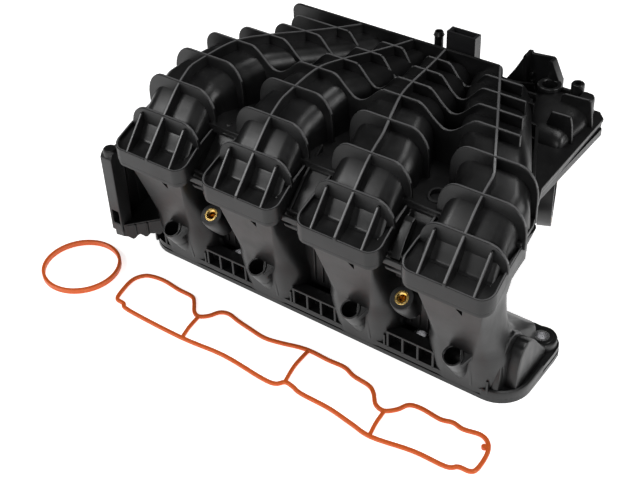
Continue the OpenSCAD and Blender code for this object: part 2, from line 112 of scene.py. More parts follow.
def along(line, y):
    """Height of a (Y, Z) line at y, smooth between its points."""
    count = len(line)
    if y <= line[0][0]:
        return line[0][1]
    if y >= line[-1][0]:
        return line[-1][1]
    i = next(i for i in range(count - 1) if y <= line[i + 1][0])

    def slope(j):
        a, b = line[max(j - 1, 0)], line[min(j + 1, count - 1)]
        return (b[1] - a[1]) / (b[0] - a[0])

    (y0, z0), (y1, z1) = line[i], line[i + 1]
    step = y1 - y0
    t = (y - y0) / step
    return ((2 * t**3 - 3 * t**2 + 1) * z0 + (t**3 - 2 * t**2 + t) * step * slope(i)
            + (3 * t**2 - 2 * t**3) * z1 + (t**3 - t**2) * step * slope(i + 1))


def centre_of(k, y):
    return PORTS[k] * (1 - max(0, y - FAN_START) * FAN_RATES[k])


def steps(low, high, count):
    return [low + (high - low) * i / (count - 1) for i in range(count)]


# ---- mesh building ----

def loft_mesh(rings, closed=False):
    """A mesh through rings of equally many points; open lofts get flat ends."""
    bm = bmesh.new()
    made = [[bm.verts.new(p) for p in ring] for ring in rings]
    count = len(made[0])
    pairs = list(zip(made, made[1:] + made[:1])) if closed else list(zip(made, made[1:]))
    for a, b in pairs:
        for i in range(count):
            j = (i + 1) % count
            bm.faces.new((a[i], a[j], b[j], b[i]))
    if not closed:
        bm.faces.new(made[0][::-1])
        bm.faces.new(made[-1])
    bmesh.ops.recalc_face_normals(bm, faces=bm.faces)
    return bm


def rod_mesh(origin, direction, r, low, high, segments=36):
    """A plain rod along a direction, from low to high past its origin."""
    turn = Vector(direction).to_track_quat("Z", "Y")
    rings = [[Vector(origin) + turn @ Vector((r * math.cos(a), r * math.sin(a), h))
              for a in (2 * math.pi * s / segments for s in range(segments))] for h in (low, high)]
    return loft_mesh(rings)


def prism_mesh(outline, axis, low, high):
    place = PLACES[axis]
    return loft_mesh([[place(u, v, w) for u, v in outline] for w in (low, high)])


def carved(body, cutters):
    """Takes closed cutter meshes out of a closed mesh and gives the result."""
    objects = []
    for bm in [body, *cutters]:
        mesh = bpy.data.meshes.new("carving")
        bm.to_mesh(mesh)
        bm.free()
        objects.append(bpy.data.objects.new("carving", mesh))
        bpy.context.scene.collection.objects.link(objects[-1])
    for tool in objects[1:]:
        cut = objects[0].modifiers.new("cut", "BOOLEAN")
        cut.operation = "DIFFERENCE"
        cut.solver = "EXACT"
        cut.object = tool
    result = bmesh.new()
    result.from_object(objects[0], bpy.context.evaluated_depsgraph_get())
    for piece in objects:
        mesh = piece.data
        bpy.data.objects.remove(piece)
        bpy.data.meshes.remove(mesh)
    return result


PLACES = {
    "x": lambda u, v, w: (w, u, v),
    "y": lambda u, v, w: (u, w, v),
    "z": lambda u, v, w: (u, v, w),
}


class Moulding:
    """Collects closed solids in millimetres and turns them into one piece."""

    def __init__(self):
        self.verts = []
        self.faces = []
        self.rub_and_highlight = []

    def take(self, bm, soft, crest=False):
        """Adds a closed solid with its corners rounded; a crest's upward faces take a lighter finish, partly
        rubbed wear and partly a painted highlight.
        """
        # Faces that point up are marked for the lighter colour: a painted highlight, together with rubbed
        # wear
        if crest:
            bm.normal_update()
            for face in bm.faces:
                face.material_index = int(face.normal.z > CREST_UP)
        if soft:
            edges = [e for e in bm.edges if len(e.link_faces) == 2 and e.calc_face_angle() > SHARP_ANGLE]
            bmesh.ops.bevel(bm, geom=edges, offset=soft, offset_type="OFFSET", segments=2,
                            profile=0.5, affect="EDGES", clamp_overlap=True)
        bmesh.ops.recalc_face_normals(bm, faces=bm.faces)
        bm.verts.index_update()
        base = len(self.verts)
        self.verts += [v.co.copy() for v in bm.verts]
        self.faces += [[base + v.index for v in f.verts] for f in bm.faces]
        self.rub_and_highlight += [f.material_index for f in bm.faces]
        bm.free()

    def loft(self, rings, soft=0.0, closed=False, crest=False):
        self.take(loft_mesh(rings, closed), soft, crest)

    def prism(self, outline, axis, low, high, soft=0.6, crest=False):
        place = PLACES[axis]
        self.loft([[place(u, v, w) for u, v in outline] for w in (low, high)], soft, crest=crest)

    def box(self, low, high, soft=0.6):
        outline = [(low[0], low[1]), (high[0], low[1]), (high[0], high[1]), (low[0], high[1])]
        self.prism(outline, "z", low[2], high[2], soft)

    def ribbon(self, path, bottoms, tops, thick, soft=0.6, crest=False):
        """A standing wall along a plan path with its own bottom and top height at each point."""
        rings = []
        points = [Vector(p) for p in path]
        points = [points[0] * 2 - points[1]] + points + [points[-1] * 2 - points[-2]]
        for before, here, after, bottom, top in zip(points, points[1:], points[2:], bottoms, tops):
            first = (here - before).normalized()
            middle = (first + (after - here).normalized()).normalized()
            side = Vector((-middle.y, middle.x)) * (thick / 2 / max(0.5, middle.dot(first)))
            left, right = here + side, here - side
            rings.append([(left.x, left.y, bottom), (right.x, right.y, bottom),
                          (right.x, right.y, top), (left.x, left.y, top)])
        self.loft(rings, soft, crest=crest)

    def lathe(self, profile, origin, direction, segments=40, soft=0.0):
        """Turns a closed (radius, height) profile round an axis; radius 0 only at a profile's two ends."""
        turn = Vector(direction).to_track_quat("Z", "Y")
        origin = Vector(origin)
        bm = bmesh.new()
        rings = []
        for s in range(segments):
            a = 2 * math.pi * s / segments
            rings.append([bm.verts.new(origin + turn @ Vector((r * math.cos(a), r * math.sin(a), h)))
                          for r, h in profile])
        count = len(profile)
        for a, b in zip(rings, rings[1:] + rings[:1]):
            for i in range(count):
                j = (i + 1) % count
                if profile[i][0] > 0 or profile[j][0] > 0:
                    bm.faces.new((a[i], b[i], b[j], a[j]))
        bmesh.ops.remove_doubles(bm, verts=bm.verts, dist=1e-5)
        self.take(bm, soft)

    def sweep(self, path, section, closed=True):
        """Runs an (offset, height) section along a plan path at the path's own height."""
        rings = []
        count = len(path)
        for i, p in enumerate(path):
            before = path[i - 1] if closed or i else path[0]
            after = path[(i + 1) % count] if closed or i < count - 1 else path[-1]
            run = (Vector(after[:2]) - Vector(before[:2])).normalized()
            side = Vector((-run.y, run.x))
            rings.append([(p[0] + side.x * u, p[1] + side.y * u, (p[2] if len(p) > 2 else 0) + v)
                          for u, v in section])
        self.loft(rings, closed=closed)

    def finish(self, name, body, slot, replaced):
        """Makes the piece in metres; it rides on its body and takes the place of the CAD parts named."""
        mesh = bpy.data.meshes.new(name)
        mesh.from_pydata([v * MM for v in self.verts], [], self.faces)
        mesh.shade_smooth()
        mesh.set_sharp_from_angle(angle=SMOOTH_ANGLE)
        mesh.materials.append(finish_of(slot))
        # Upward crest faces take a second, lighter material: rubbed wear with a painted highlight
        if any(self.rub_and_highlight):
            mesh.materials.append(finish_of("crest_wear_and_highlight_nylon"))
            mesh.polygons.foreach_set("material_index", self.rub_and_highlight)
        piece = bpy.data.objects.new(name, mesh)
        bpy.context.scene.collection.objects.link(piece)
        shading = piece.modifiers.new("even shading", "WEIGHTED_NORMAL")
        shading.keep_sharp = True
        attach(piece, body)
        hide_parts(*replaced)


def arc(cx, cy, r, start, end, count):
    """Points on a circle, angles in degrees."""
    return [(cx + r * math.cos(math.radians(a)), cy + r * math.sin(math.radians(a)))
            for a in steps(start, end, count)]


def rounded(width, depth, r, count=6):
    """A rounded rectangle about the origin."""
    points = []
    for sx, sy, start in ((1, 1, 0), (-1, 1, 90), (-1, -1, 180), (1, -1, 270)):
        points += arc(sx * (width / 2 - r), sy * (depth / 2 - r), r, start, start + 90, count)
    return points


# ---- materials ----

class Nodes:
    """Short helper for a procedural material."""

    def __init__(self, name):
        self.material = bpy.data.materials.new(name)
        self.material.use_nodes = True
        self.tree = self.material.node_tree
        self.shader = self.tree.nodes["Principled BSDF"]
        self.place = self.add("ShaderNodeTexCoord").outputs["Object"]

    def add(self, kind, **values):
        node = self.tree.nodes.new(kind)
        for key, value in values.items():
            setattr(node, key, value)
        return node

    def link(self, out, into):
        self.tree.links.new(out, into)

    def noise(self, scale, detail=4.0, rough=0.55, stretch=None):
        node = self.add("ShaderNodeTexNoise")
        node.inputs["Scale"].default_value = scale
        node.inputs["Detail"].default_value = detail
        node.inputs["Roughness"].default_value = rough
        place = self.place
        if stretch:
            mapping = self.add("ShaderNodeMapping")
            mapping.inputs["Scale"].default_value = stretch
            self.link(place, mapping.inputs["Vector"])
            place = mapping.outputs["Vector"]
        self.link(place, node.inputs["Vector"])
        return node.outputs["Fac"]

    def ramp(self, value, low, high, from_low=0.3, from_high=0.7):
        node = self.add("ShaderNodeMapRange")
        node.inputs["From Min"].default_value = from_low
        node.inputs["From Max"].default_value = from_high
        node.inputs["To Min"].default_value = low
        node.inputs["To Max"].default_value = high
        self.link(value, node.inputs["Value"])
        return node.outputs["Result"]

    def mix(self, factor, first, second):
        node = self.add("ShaderNodeMix", data_type="RGBA")
        self.link(factor, node.inputs["Factor"])
        node.inputs["A"].default_value = (*first, 1)
        node.inputs["B"].default_value = (*second, 1)
        return node.outputs["Result"]

    def times(self, a, b):
        node = self.add("ShaderNodeMath", operation="MULTIPLY")
        self.link(a, node.inputs[0])
        self.link(b, node.inputs[1])
        return node.outputs[0]

    def bump(self, height, strength, distance):
        node = self.add("ShaderNodeBump")
        node.inputs["Strength"].default_value = strength
        node.inputs["Distance"].default_value = distance
        self.link(height, node.inputs["Height"])
        self.link(node.outputs["Normal"], self.shader.inputs["Normal"])


def moulded_plastic(name, colour, worn, roughness, grain):
    """Satin glass-filled nylon: fine grain, slow flow marks and faint handling scuffs."""
    n = Nodes(name)
    flow = n.noise(38, 5, 0.6, (1.0, 2.4, 1.0))
    scuffs = n.noise(260, 6, 0.75, (1.0, 0.25, 3.0))
    patch = n.noise(22, 2)
    marks = n.times(n.ramp(scuffs, 0.0, 1.0, 0.56, 0.74), n.ramp(patch, 0.15, 1.0, 0.4, 0.65))
    n.link(n.mix(marks, colour, worn), n.shader.inputs["Base Color"])
    n.link(n.ramp(flow, roughness - 0.05, roughness + 0.09), n.shader.inputs["Roughness"])
    n.shader.inputs["Specular IOR Level"].default_value = 0.42
    n.bump(n.noise(1000 / grain, 3, 0.7), 0.16, 0.0001)
    return n.material


def turned_metal(name, colour, dark, roughness, lines):
    """Machined metal: fine turning lines, slight tarnish in patches."""
    n = Nodes(name)
    n.shader.inputs["Metallic"].default_value = 1.0
    tarnish = n.ramp(n.noise(420, 4), 0.0, 0.7, 0.45, 0.75)
    n.link(n.mix(tarnish, colour, dark), n.shader.inputs["Base Color"])
    n.link(n.ramp(n.noise(900, 3), roughness - 0.06, roughness + 0.1), n.shader.inputs["Roughness"])
    n.bump(n.noise(300, 2, 0.5, (1.0, 1.0, lines)), 0.2, 0.0001)
    return n.material


def silicone(name, colour, light, roughness):
    """Moulded silicone: slightly see-through edges, soft dusty mottling."""
    n = Nodes(name)
    dust = n.ramp(n.noise(240, 5, 0.65), 0.0, 0.5, 0.42, 0.72)
    n.link(n.mix(dust, colour, light), n.shader.inputs["Base Color"])
    n.link(n.ramp(n.noise(120, 3), roughness - 0.06, roughness + 0.08), n.shader.inputs["Roughness"])
    n.shader.inputs["Subsurface Weight"].default_value = 0.12
    n.shader.inputs["Specular IOR Level"].default_value = 0.35
    n.shader.inputs["Subsurface Radius"].default_value = (0.0012, 0.0006, 0.0003)
    n.shader.inputs["Subsurface Scale"].default_value = 1.0
    n.bump(n.noise(1400, 3), 0.15, 0.0001)
    return n.material


def rubber(name, colour, light):
    """Matt black rubber, dusty in patches."""
    n = Nodes(name)
    n.link(n.mix(n.ramp(n.noise(300, 4), 0.0, 0.6), colour, light), n.shader.inputs["Base Color"])
    n.shader.inputs["Roughness"].default_value = 0.72
    n.bump(n.noise(1600, 2), 0.2, 0.0001)
    return n.material


FINISHES = {}


def finish_of(slot):
    """The material of a record slot, made once from the scene's own colour settings."""
    if slot in FINISHES:
        return FINISHES[slot]
    looks = bpy.context.scene.manifold_looks
    nylon, rub_and_highlight, worn = tuple(looks.nylon), tuple(looks.nylon_crest_wear_and_highlight), tuple(looks.nylon_worn)
    gloss, grain = looks.nylon_roughness, looks.grain
    brass, steel, orange = tuple(looks.brass), tuple(looks.steel), tuple(looks.silicone)
    made = {
        "black_nylon": lambda: moulded_plastic("black nylon", nylon, worn, gloss, grain),
        # Lighter nylon for the upward crest faces: rubbed wear plus a painted highlight
        "crest_wear_and_highlight_nylon": lambda: moulded_plastic("worn crest nylon with painted highlight", rub_and_highlight, worn, gloss, grain),
        "lever_plastic": lambda: moulded_plastic("lever plastic", (0.03, 0.03, 0.032), worn, 0.42, grain),
        "sensor_plastic": lambda: moulded_plastic("sensor plastic", (0.012, 0.012, 0.013), worn, 0.35, 0.5),
        "bush_plastic": lambda: moulded_plastic("bush plastic", (0.55, 0.46, 0.3), (0.7, 0.62, 0.48),
                                                0.45, 0.5),
        "brass": lambda: turned_metal("brass", brass, (0.42, 0.24, 0.06), 0.24, 8.0),
        "flap_brass": lambda: turned_metal("rolled brass", (0.6, 0.43, 0.16), (0.35, 0.22, 0.07), 0.36, 2.0),
        "limiter_steel": lambda: turned_metal("turned steel", steel, (0.32, 0.32, 0.33), 0.28, 10.0),
        "screw_steel": lambda: turned_metal("zinc plate", (0.55, 0.56, 0.58), (0.36, 0.36, 0.38), 0.34, 3.0),
        "shaft_steel": lambda: turned_metal("ground steel", (0.6, 0.61, 0.63), (0.4, 0.4, 0.42), 0.2, 1.0),
        "seal_rubber": lambda: rubber("seal rubber", (0.015, 0.015, 0.016), (0.04, 0.04, 0.042)),
        "orange_silicone": lambda: silicone("orange silicone", orange, (0.66, 0.15, 0.034), 0.42),
    }
    FINISHES[slot] = made[slot]()
    return FINISHES[slot]


# ---- upper shell ----

def side_half(k, y, side):
    """How far a runner's skin reaches to one side: up to its neighbour's, but no wider than the runner."""
    n = k + side
    if n < 0 or n > 3:
        return 31.0
    return min(31.0, abs(centre_of(n, y) - centre_of(k, y)) / 2 - 0.3)


def shoulder(t, flat, depth):
    """Drop from the crown at a share t of the half width: flat, then an elliptic shoulder."""
    if t <= flat:
        return 0.0
    u = min(1.0, (t - flat) / (1 - flat))
    return depth * (1 - math.sqrt(max(0.0, 1 - u * u)))


def runner_skin(shape, k, sizes):
    """The smooth duct of one runner, from above the pad to the rear wall."""
    shares = (1.0, 0.975, 0.93, 0.86, 0.76, 0.66, 0.55, 0.3)
    rings = []
    for y in steps(-3, ROOF_END - 1, 54):
        top = along(RIB_LINE, y) - sizes.rib_height
        base = max(min(along(RIM_LINE, y) - 6, top - 6), 118)
        c = centre_of(k, y)
        left, right = side_half(k, y, -1), side_half(k, y, 1)
        drop = min(18.0, (top - base) * 0.75)
        ring = [(c - left - 1.5, y, base)]
        ring += [(c - left * t, y, top - shoulder(t, 0.5, drop)) for t in shares]
        ring += [(c, y, top + 0.4)]
        ring += [(c + right * t, y, top - shoulder(t, 0.5, drop)) for t in reversed(shares)]
        ring += [(c + right + 1.5, y, base)]
        rings.append(ring)
    shape.loft(rings)


def single_rib(shape, k, row, sizes):
    """A separate arch over one runner."""
    y = ROWS[row]
    c, top = centre_of(k, y), along(RIB_LINE, y)
    base = along(RIM_LINE, y) - 3
    half, flat, depth = 37.0, 20.0, min(24.0, top - base - 2)
    bend = [(math.sin(math.radians(a)), 1 - math.cos(math.radians(a))) for a in steps(0, 90, 9)]
    right = [(c + flat + (half - flat) * s, top - depth * d) for s, d in bend]
    left = [(c - flat - (half - flat) * s, top - depth * d) for s, d in reversed(bend)]
    outline = left + right + [(c + half, base), (c - half, base)]
    shape.prism(outline, "y", y - sizes.rib_thick / 2, y + sizes.rib_thick / 2, sizes.edge, crest=True)


def valley_dip(x, y):
    """How far a joined rib dips between two runners at x."""
    dip = 0.0
    for k in range(3):
        a, b = centre_of(k, y), centre_of(k + 1, y)
        middle, half = (a + b) / 2, (b - a) / 2
        t = abs(x - middle) / (half * 0.6)
        if t < 1:
            s = 1 - t
            dip = 17.0 * (s * s * (3 - 2 * s)) ** 0.8
    return dip


def joined_rib(shape, row, sizes):
    """One wavy rib across all four runners."""
    y = ROWS[row]
    top = along(RIB_LINE, y)
    left_end = min(centre_of(0, y) - 34, -131 if row == 6 else 0)
    right_end = RIGHT_ENDS[row]
    corner = [(left_end + 11 - 11 * math.cos(math.radians(a)), top - 13 + 13 * math.sin(math.radians(a)))
              for a in steps(0, 90, 7)]
    crest = [(x, top - valley_dip(x, y)) for x in steps(left_end + 13, right_end, 90)]
    outline = corner + crest + [(right_end, SEAM), (left_end, SEAM)]
    shape.prism(outline, "y", y - sizes.rib_thick / 2, y + sizes.rib_thick / 2, sizes.edge, crest=True)


def spine(shape, k, sizes):
    """The long rib along the middle of a runner."""
    ys = steps(-31, ROOF_END, 54)
    path = [(centre_of(k, y), y) for y in ys]
    tops = [along(RIB_LINE, y) for y in ys]
    bottoms = [max(t - sizes.rib_height - 6, along(RIM_LINE, y) - 4) for y, t in zip(ys, tops)]
    bottoms = [min(b, t - 3) for b, t in zip(bottoms, tops)]
    shape.ribbon(path, bottoms, tops, sizes.rib_thick, sizes.edge, crest=True)


PAD_LEFT = 41.0
PAD_RIGHT = 37.0
PAD_CORNER = 11.0
# Tray floor at the front of a runner and the steeper panel behind it, as (Y, Z)
PAD_FLOOR = [(-31, 126.3), (-29, 126.8), (-14.5, 132.2), (-13, 133.4), (-4.5, 145.6), (0, 150), (6, 152)]
GUSSET = [(-30.2, 123), (-30.2, 128.3), (-29, 129.2), (-8, 153.2), (-6.6, 154.6), (-5, 154.2), (-4.5, 152),
          (-4.5, 134)]


def pad_side(y, side):
    """Reach of a pad from its spine at y: rounded front corners, then narrowing slightly to the back."""
    r, front = PAD_CORNER, SHELL_LOW.y
    reach = PAD_LEFT if side < 0 else PAD_RIGHT
    taper = (0.13 if side < 0 else 0.04) * max(0.0, y - front - r)
    if y >= front + r:
        return reach - min(taper, 3.5)
    return reach - r + math.sqrt(max(0.0, r * r - (front + r - y) ** 2))


def pad_rim_path(k, inset, back):
    """Plan of a pad's rim from its left back corner round the front to the right."""
    front, r, c = SHELL_LOW.y, PAD_CORNER, PORTS[k]
    ys = steps(back, front + r + 1, 9)
    left = [(c - pad_side(y, -1) + inset, y) for y in ys]
    corner_l = arc(c - PAD_LEFT + r, front + r, r - inset, 180, 270, 7)
    corner_r = arc(c + PAD_RIGHT - r, front + r, r - inset, 270, 360, 7)
    right = [(c + pad_side(y, 1) - inset, y) for y in reversed(ys)]
    return left + corner_l + corner_r + right


def lip_drop(y):
    """Depth of the pad's lip: its front, then a shallower band along the sides."""
    return 13.0 if y < -25 else max(9.5, 13.0 - (y + 25) * 0.12)


def pad(shape, k, sizes):
    """Tray at the front of a runner, its raised lip and its gussets."""
    c = PORTS[k]
    rings = []
    for y in steps(SHELL_LOW.y + 0.6, 24, 26):
        z = along(RIM_LINE, y) - 3.4
        left, right = c - pad_side(y, -1) + 0.9, c + pad_side(y, 1) - 0.9
        rings.append([(left, y, z - 7), (left, y, z), (right, y, z), (right, y, z - 7)])
    shape.loft(rings)
    panel = []
    for y in (-15.5, -14.5, -13.6, -12.8, -10, -6, -2, 2):
        z, base = along(PAD_FLOOR, y), along(RIM_LINE, y) - 8
        half, r = 30.5, min(3.0, max(0.2, (z - base) / 3))
        panel.append([(c - half - 1, y, base), (c - half, y, z - r), (c - half + r, y, z),
                      (c + half - r, y, z), (c + half, y, z - r), (c + half + 1, y, base)])
    shape.loft(panel)
    path = pad_rim_path(k, 1.1, 26)
    tops = [along(RIM_LINE, p[1]) for p in path]
    shape.ribbon(path, [t - lip_drop(p[1]) for t, p in zip(tops, path)], tops, 2.2, 0.6, crest=True)
    for side in (-1, 1):
        x = c + side * 23.6
        shape.prism(GUSSET, "x", x - 1.3, x + 1.3, sizes.edge, crest=True)


def valley_parts(shape, sizes):
    """Rails between the pads and what shows in the three valleys."""
    for k in range(3):
        left, right = PORTS[k] + 34, PORTS[k + 1] - 38
        shape.box((left, -17.5, 113), (right, -14.9, 118.5), 0.7)
        shape.box((left, -12.5, 115), (right, -9.9, 122), 0.7)
        trough = [(-17, 110), (2, 124), (18, 139), (26, 147), (26, 143), (20, 136), (4, 120), (-15, 106)]
        shape.prism(trough, "x", left + 2, right - 2, 0.5)
    middle = (PORTS[1] + PORTS[2]) / 2
    panel = [(-13, 117), (2, 131.5), (24, 149), (30, 152), (30, 146), (2, 127), (-12, 113)]
    shape.prism(panel, "x", middle - 11, middle + 11, 0.8)
    edge = [(middle - 9, -12), (middle - 9, 8), (middle - 9, 34)]
    shape.ribbon(edge, [116, 130, 148], [122, 141, 158], 2.4)
    right = (PORTS[2] + PORTS[3]) / 2
    tongue = [(-14, 116), (-14, 119), (-6, 132), (4, 143), (9, 144.5), (9, 139), (-10, 116)]
    shape.prism(tongue, "x", right - 9, right - 0.5, 1.2)
    cup = [(0, 0), (8, 0), (8, 8), (7.2, 9), (5.4, 9), (5, 3), (0, 3)]
    shape.lathe(cup, (right + 4, 33, 146), (0, -0.3, 1))
    left = (PORTS[0] + PORTS[1]) / 2
    for r, h in ((8.0, 3.0), (5.0, 5.0), (2.4, 7.0)):
        shape.lathe([(0, 0), (r, 0), (r, h - 0.8), (r - 0.8, h), (0, h)], (left, 24, 146), (0, -0.2, 1), 32)


def weld_flange(shape):
    """Two-layer flange round the shell, with the weld line between its layers."""
    def outline(i):
        """Plan of the flange, drawn in by i."""
        return [(-174 + i, 16), (-168 + i, 80), (-150 + i, 205 - i), (150 - i, 205 - i), (157 - i, 197 - i),
                (160 - i, 84), (176 - i, 40), (179 - i, 16)]
    shape.prism(outline(0), "z", 148.2, 151.6, 0.8)
    shape.prism(outline(1.2), "z", 147.2, 148.8, 0)


def rear_wall(shape, sizes):
    """Wall behind the last rib, rounded at its left end and curving down at its right."""
    top = 182.0
    left, right = -146.0, 71.0
    outline = [(left, SEAM)] + arc(left + 8, top - 8, 8, 180, 90, 6)
    outline += [(right - 4, top), (right - 1, top - 1.5), (right, top - 4), (right, SEAM)]
    shape.prism(outline, "y", ROOF_END - 1.5, ROOF_END + 1.5, sizes.edge)
    shape.ribbon([(right - 1, ROOF_END), (82, 190), (90, 203)], [SEAM] * 3, [170, 166, 160], 2.6, sizes.edge)
    brace = [(ROOF_END + 1, SEAM + 3), (ROOF_END + 18, SEAM + 3), (ROOF_END + 1, 174)]
    for x in (-100, -40, 30):
        shape.prism(brace, "x", x - 1.4, x + 1.4)


def right_flank(shape, sizes):
    """Double wall with small cross ribs beside the fourth runner."""
    inner = [(155, 52), (146, 74), (132, 100), (119, 130), (109, 150), (103, 172)]
    shape.ribbon(inner, [SEAM] * 6, [166, 172, 170, 168, 166, 166], 3.0, sizes.edge)
    outer = [(166, 50), (157, 74), (144, 100), (131, 128), (124, 142)]
    shape.ribbon(outer, [SEAM] * 5, [158, 162, 163, 163, 163], 2.8, sizes.edge)
    for a, b in zip(inner[:4], outer[:4]):
        shape.ribbon([a, b], [SEAM] * 2, [161, 161], 2.6, sizes.edge)
    shape.ribbon([(124, 142), (114, 139)], [SEAM] * 2, [164, 168], 2.8, sizes.edge)


# Sections of the dome, as (Y, top Z, left X, right X)
DOME = [(136, 150, 124, 144), (138.5, 156, 119, 147), (143, 161, 114, 149), (152, 163.5, 110, 150),
        (162, 163, 104, 150), (170, 165.5, 100, 151), (180, 167, 97, 151), (190, 167, 97, 150),
        (198, 164, 99, 148), (201, 159, 101, 146)]


def dome(shape, sizes):
    """Duct that rises from the flange to the throttle side of the plenum, its fins, boss and post."""
    rings = []
    for y, top, left, right in DOME:
        middle, half = (left + right) / 2, (right - left) / 2
        ring = [(middle - half, y, SEAM)]
        for side, power, angles in ((-1, 0.75, steps(6, 90, 9)), (1, 0.55, steps(82, 6, 8))):
            for a in angles:
                across, up = math.cos(math.radians(a)) ** power, math.sin(math.radians(a)) ** 0.6
                ring.append((middle + side * half * across, y, SEAM + (top - SEAM) * up))
        rings.append(ring + [(middle + half, y, SEAM)])
    shape.loft(rings)
    fin = [(127, SEAM), (129, 166), (132, 175), (148.5, 175.5), (150.5, 168), (152.5, SEAM)]
    shape.prism(fin, "y", 148.6, 151.4, sizes.edge, crest=True)
    back = [(122, SEAM), (126, 173), (128, 174.5), (150, 175.5), (152, 174), (155.5, SEAM)]
    shape.prism(back, "y", 178.8, 181.4, sizes.edge, crest=True)
    for x, y in ((96, 160), (91, 174)):
        shape.box((x, y, SEAM), (x + 15, y + 2.6, 169), 0.5)
    boss = [(0, 0), (5.6, 0), (5.6, 25.5), (4.9, 26.5), (2.8, 26.5), (2.6, 14), (0, 14)]
    shape.lathe(boss, (130.5, 199, 149), (0, 0, 1), 28)
    shape.box((116, 196, SEAM), (131, 199, 168), 0.7)
    shape.prism([(136, 187), (148, 187), (149.5, 192), (146, 199), (136, 200)], "z", SEAM, 170.5, 2.4)


def build_upper_shell(sizes):
    """The ribbed upper shell with its four runners."""
    shape = Moulding()
    for k in range(4):
        runner_skin(shape, k, sizes)
        pad(shape, k, sizes)
        spine(shape, k, sizes)
        for row in range(FIRST_JOINED_ROW):
            single_rib(shape, k, row, sizes)
    for row in range(FIRST_JOINED_ROW, len(ROWS)):
        joined_rib(shape, row, sizes)
    valley_parts(shape, sizes)
    weld_flange(shape)
    rear_wall(shape, sizes)
    right_flank(shape, sizes)
    dome(shape, sizes)
    shape.finish("upper_shell_moulding", "manifold", "black_nylon", ["upper_shell"])


# ---- runner body ----

# Front and back of a neck, as (Z, Y)
NECK_FRONT = [(0, -1.3), (12, -1.5), (40, -6), (52, -8), (104, -22), (112, -23.4), (116, -21), (138, 4),
              (147, 24)]
NECK_BACK = [(0, 63), (38, 63), (44, 56), (50, 42), (58, 31), (80, 24), (104, 20), (122, 24), (138, 38),
             (147, 50)]
# Half width of a neck, and the radius of its back corners, as (Z, value)
NECK_SIDE = [(0, 34.5), (40, 34.5), (50, 31.5), (60, 30), (100, 29.5), (112, 31), (147, 33)]
BACK_CORNER = [(0, 6), (40, 6), (54, 13), (110, 13), (147, 8)]
# Front and back of the duct inside, as (Z, Y)
DUCT_FRONT = [(0, 23), (12, 23), (18, 12), (50, 1), (104, -17), (112, -18), (116, -16), (138, 8), (147, 28)]
DUCT_BACK = [(0, 59), (38, 59), (44, 52), (50, 38), (58, 27), (80, 20), (104, 16), (122, 20), (138, 34),
             (147, 46)]
# Half of a neck's flat face, and the depth of the duct's front corners, as (Z, value)
FACE_HALF = [(0, 13), (52, 15), (104, 27), (147, 29)]
DUCT_DEPTH = [(0, 5), (12, 5), (20, 11), (34, 17), (147, 17)]
LEAN = mount_axis("injector_1")
MOUTHS = [mount_place(f"injector_{k}") + LEAN * 15 for k in (1, 2, 3, 4)]
RAIL_FACES = [mount_place(f"rail_thread_{side}") + LEAN * 7 for side in ("left", "right")]
SHAFT = Vector((0, 41, 20))
SHAFT_HOLE = 6.0
NECK_HEIGHTS = [0.6, 6, 12, 18, 26, 34, 40, 46, 52, 58, 66, 74, 84, 94, 104, 108, 112, 116, 122, 130, 138,
                143, 146.5]
LIMITERS = [name for name in frame["nodes"] if name.startswith("limiter_")]


def straight(line, z):
    """Value of a line of (Z, value) points, straight between them."""
    if z <= line[0][0]:
        return line[0][1]
    for (z0, v0), (z1, v1) in zip(line, line[1:]):
        if z <= z1:
            return v0 + (v1 - v0) * (z - z0) / (z1 - z0)
    return line[-1][1]


def neck_ring(c, z, front, back, face, side, depth, r):
    """Plan of a neck: a flat face in front, rounded flanks and squarer corners at the back."""
    depth = max(1.0, min(depth, back - r - front - 1))
    flank = [(math.sin(math.radians(a)), 1 - math.cos(math.radians(a))) for a in steps(0, 90, 10)]
    right = [(c + face + (side - face) * s, front + depth * d, z) for s, d in flank]
    left = [(c - face - (side - face) * s, front + depth * d, z) for s, d in reversed(flank)]
    back_r = [(x, y, z) for x, y in arc(c + side - r, back - r, r, 0, 90, 5)]
    back_l = [(x, y, z) for x, y in arc(c - side + r, back - r, r, 90, 180, 5)]
    return right + back_r + back_l + left


def shaft_hole(low, high):
    """Cutter for the flap shaft from one X to another."""
    return rod_mesh((0, SHAFT.y, SHAFT.z), (1, 0, 0), SHAFT_HOLE, low, high)


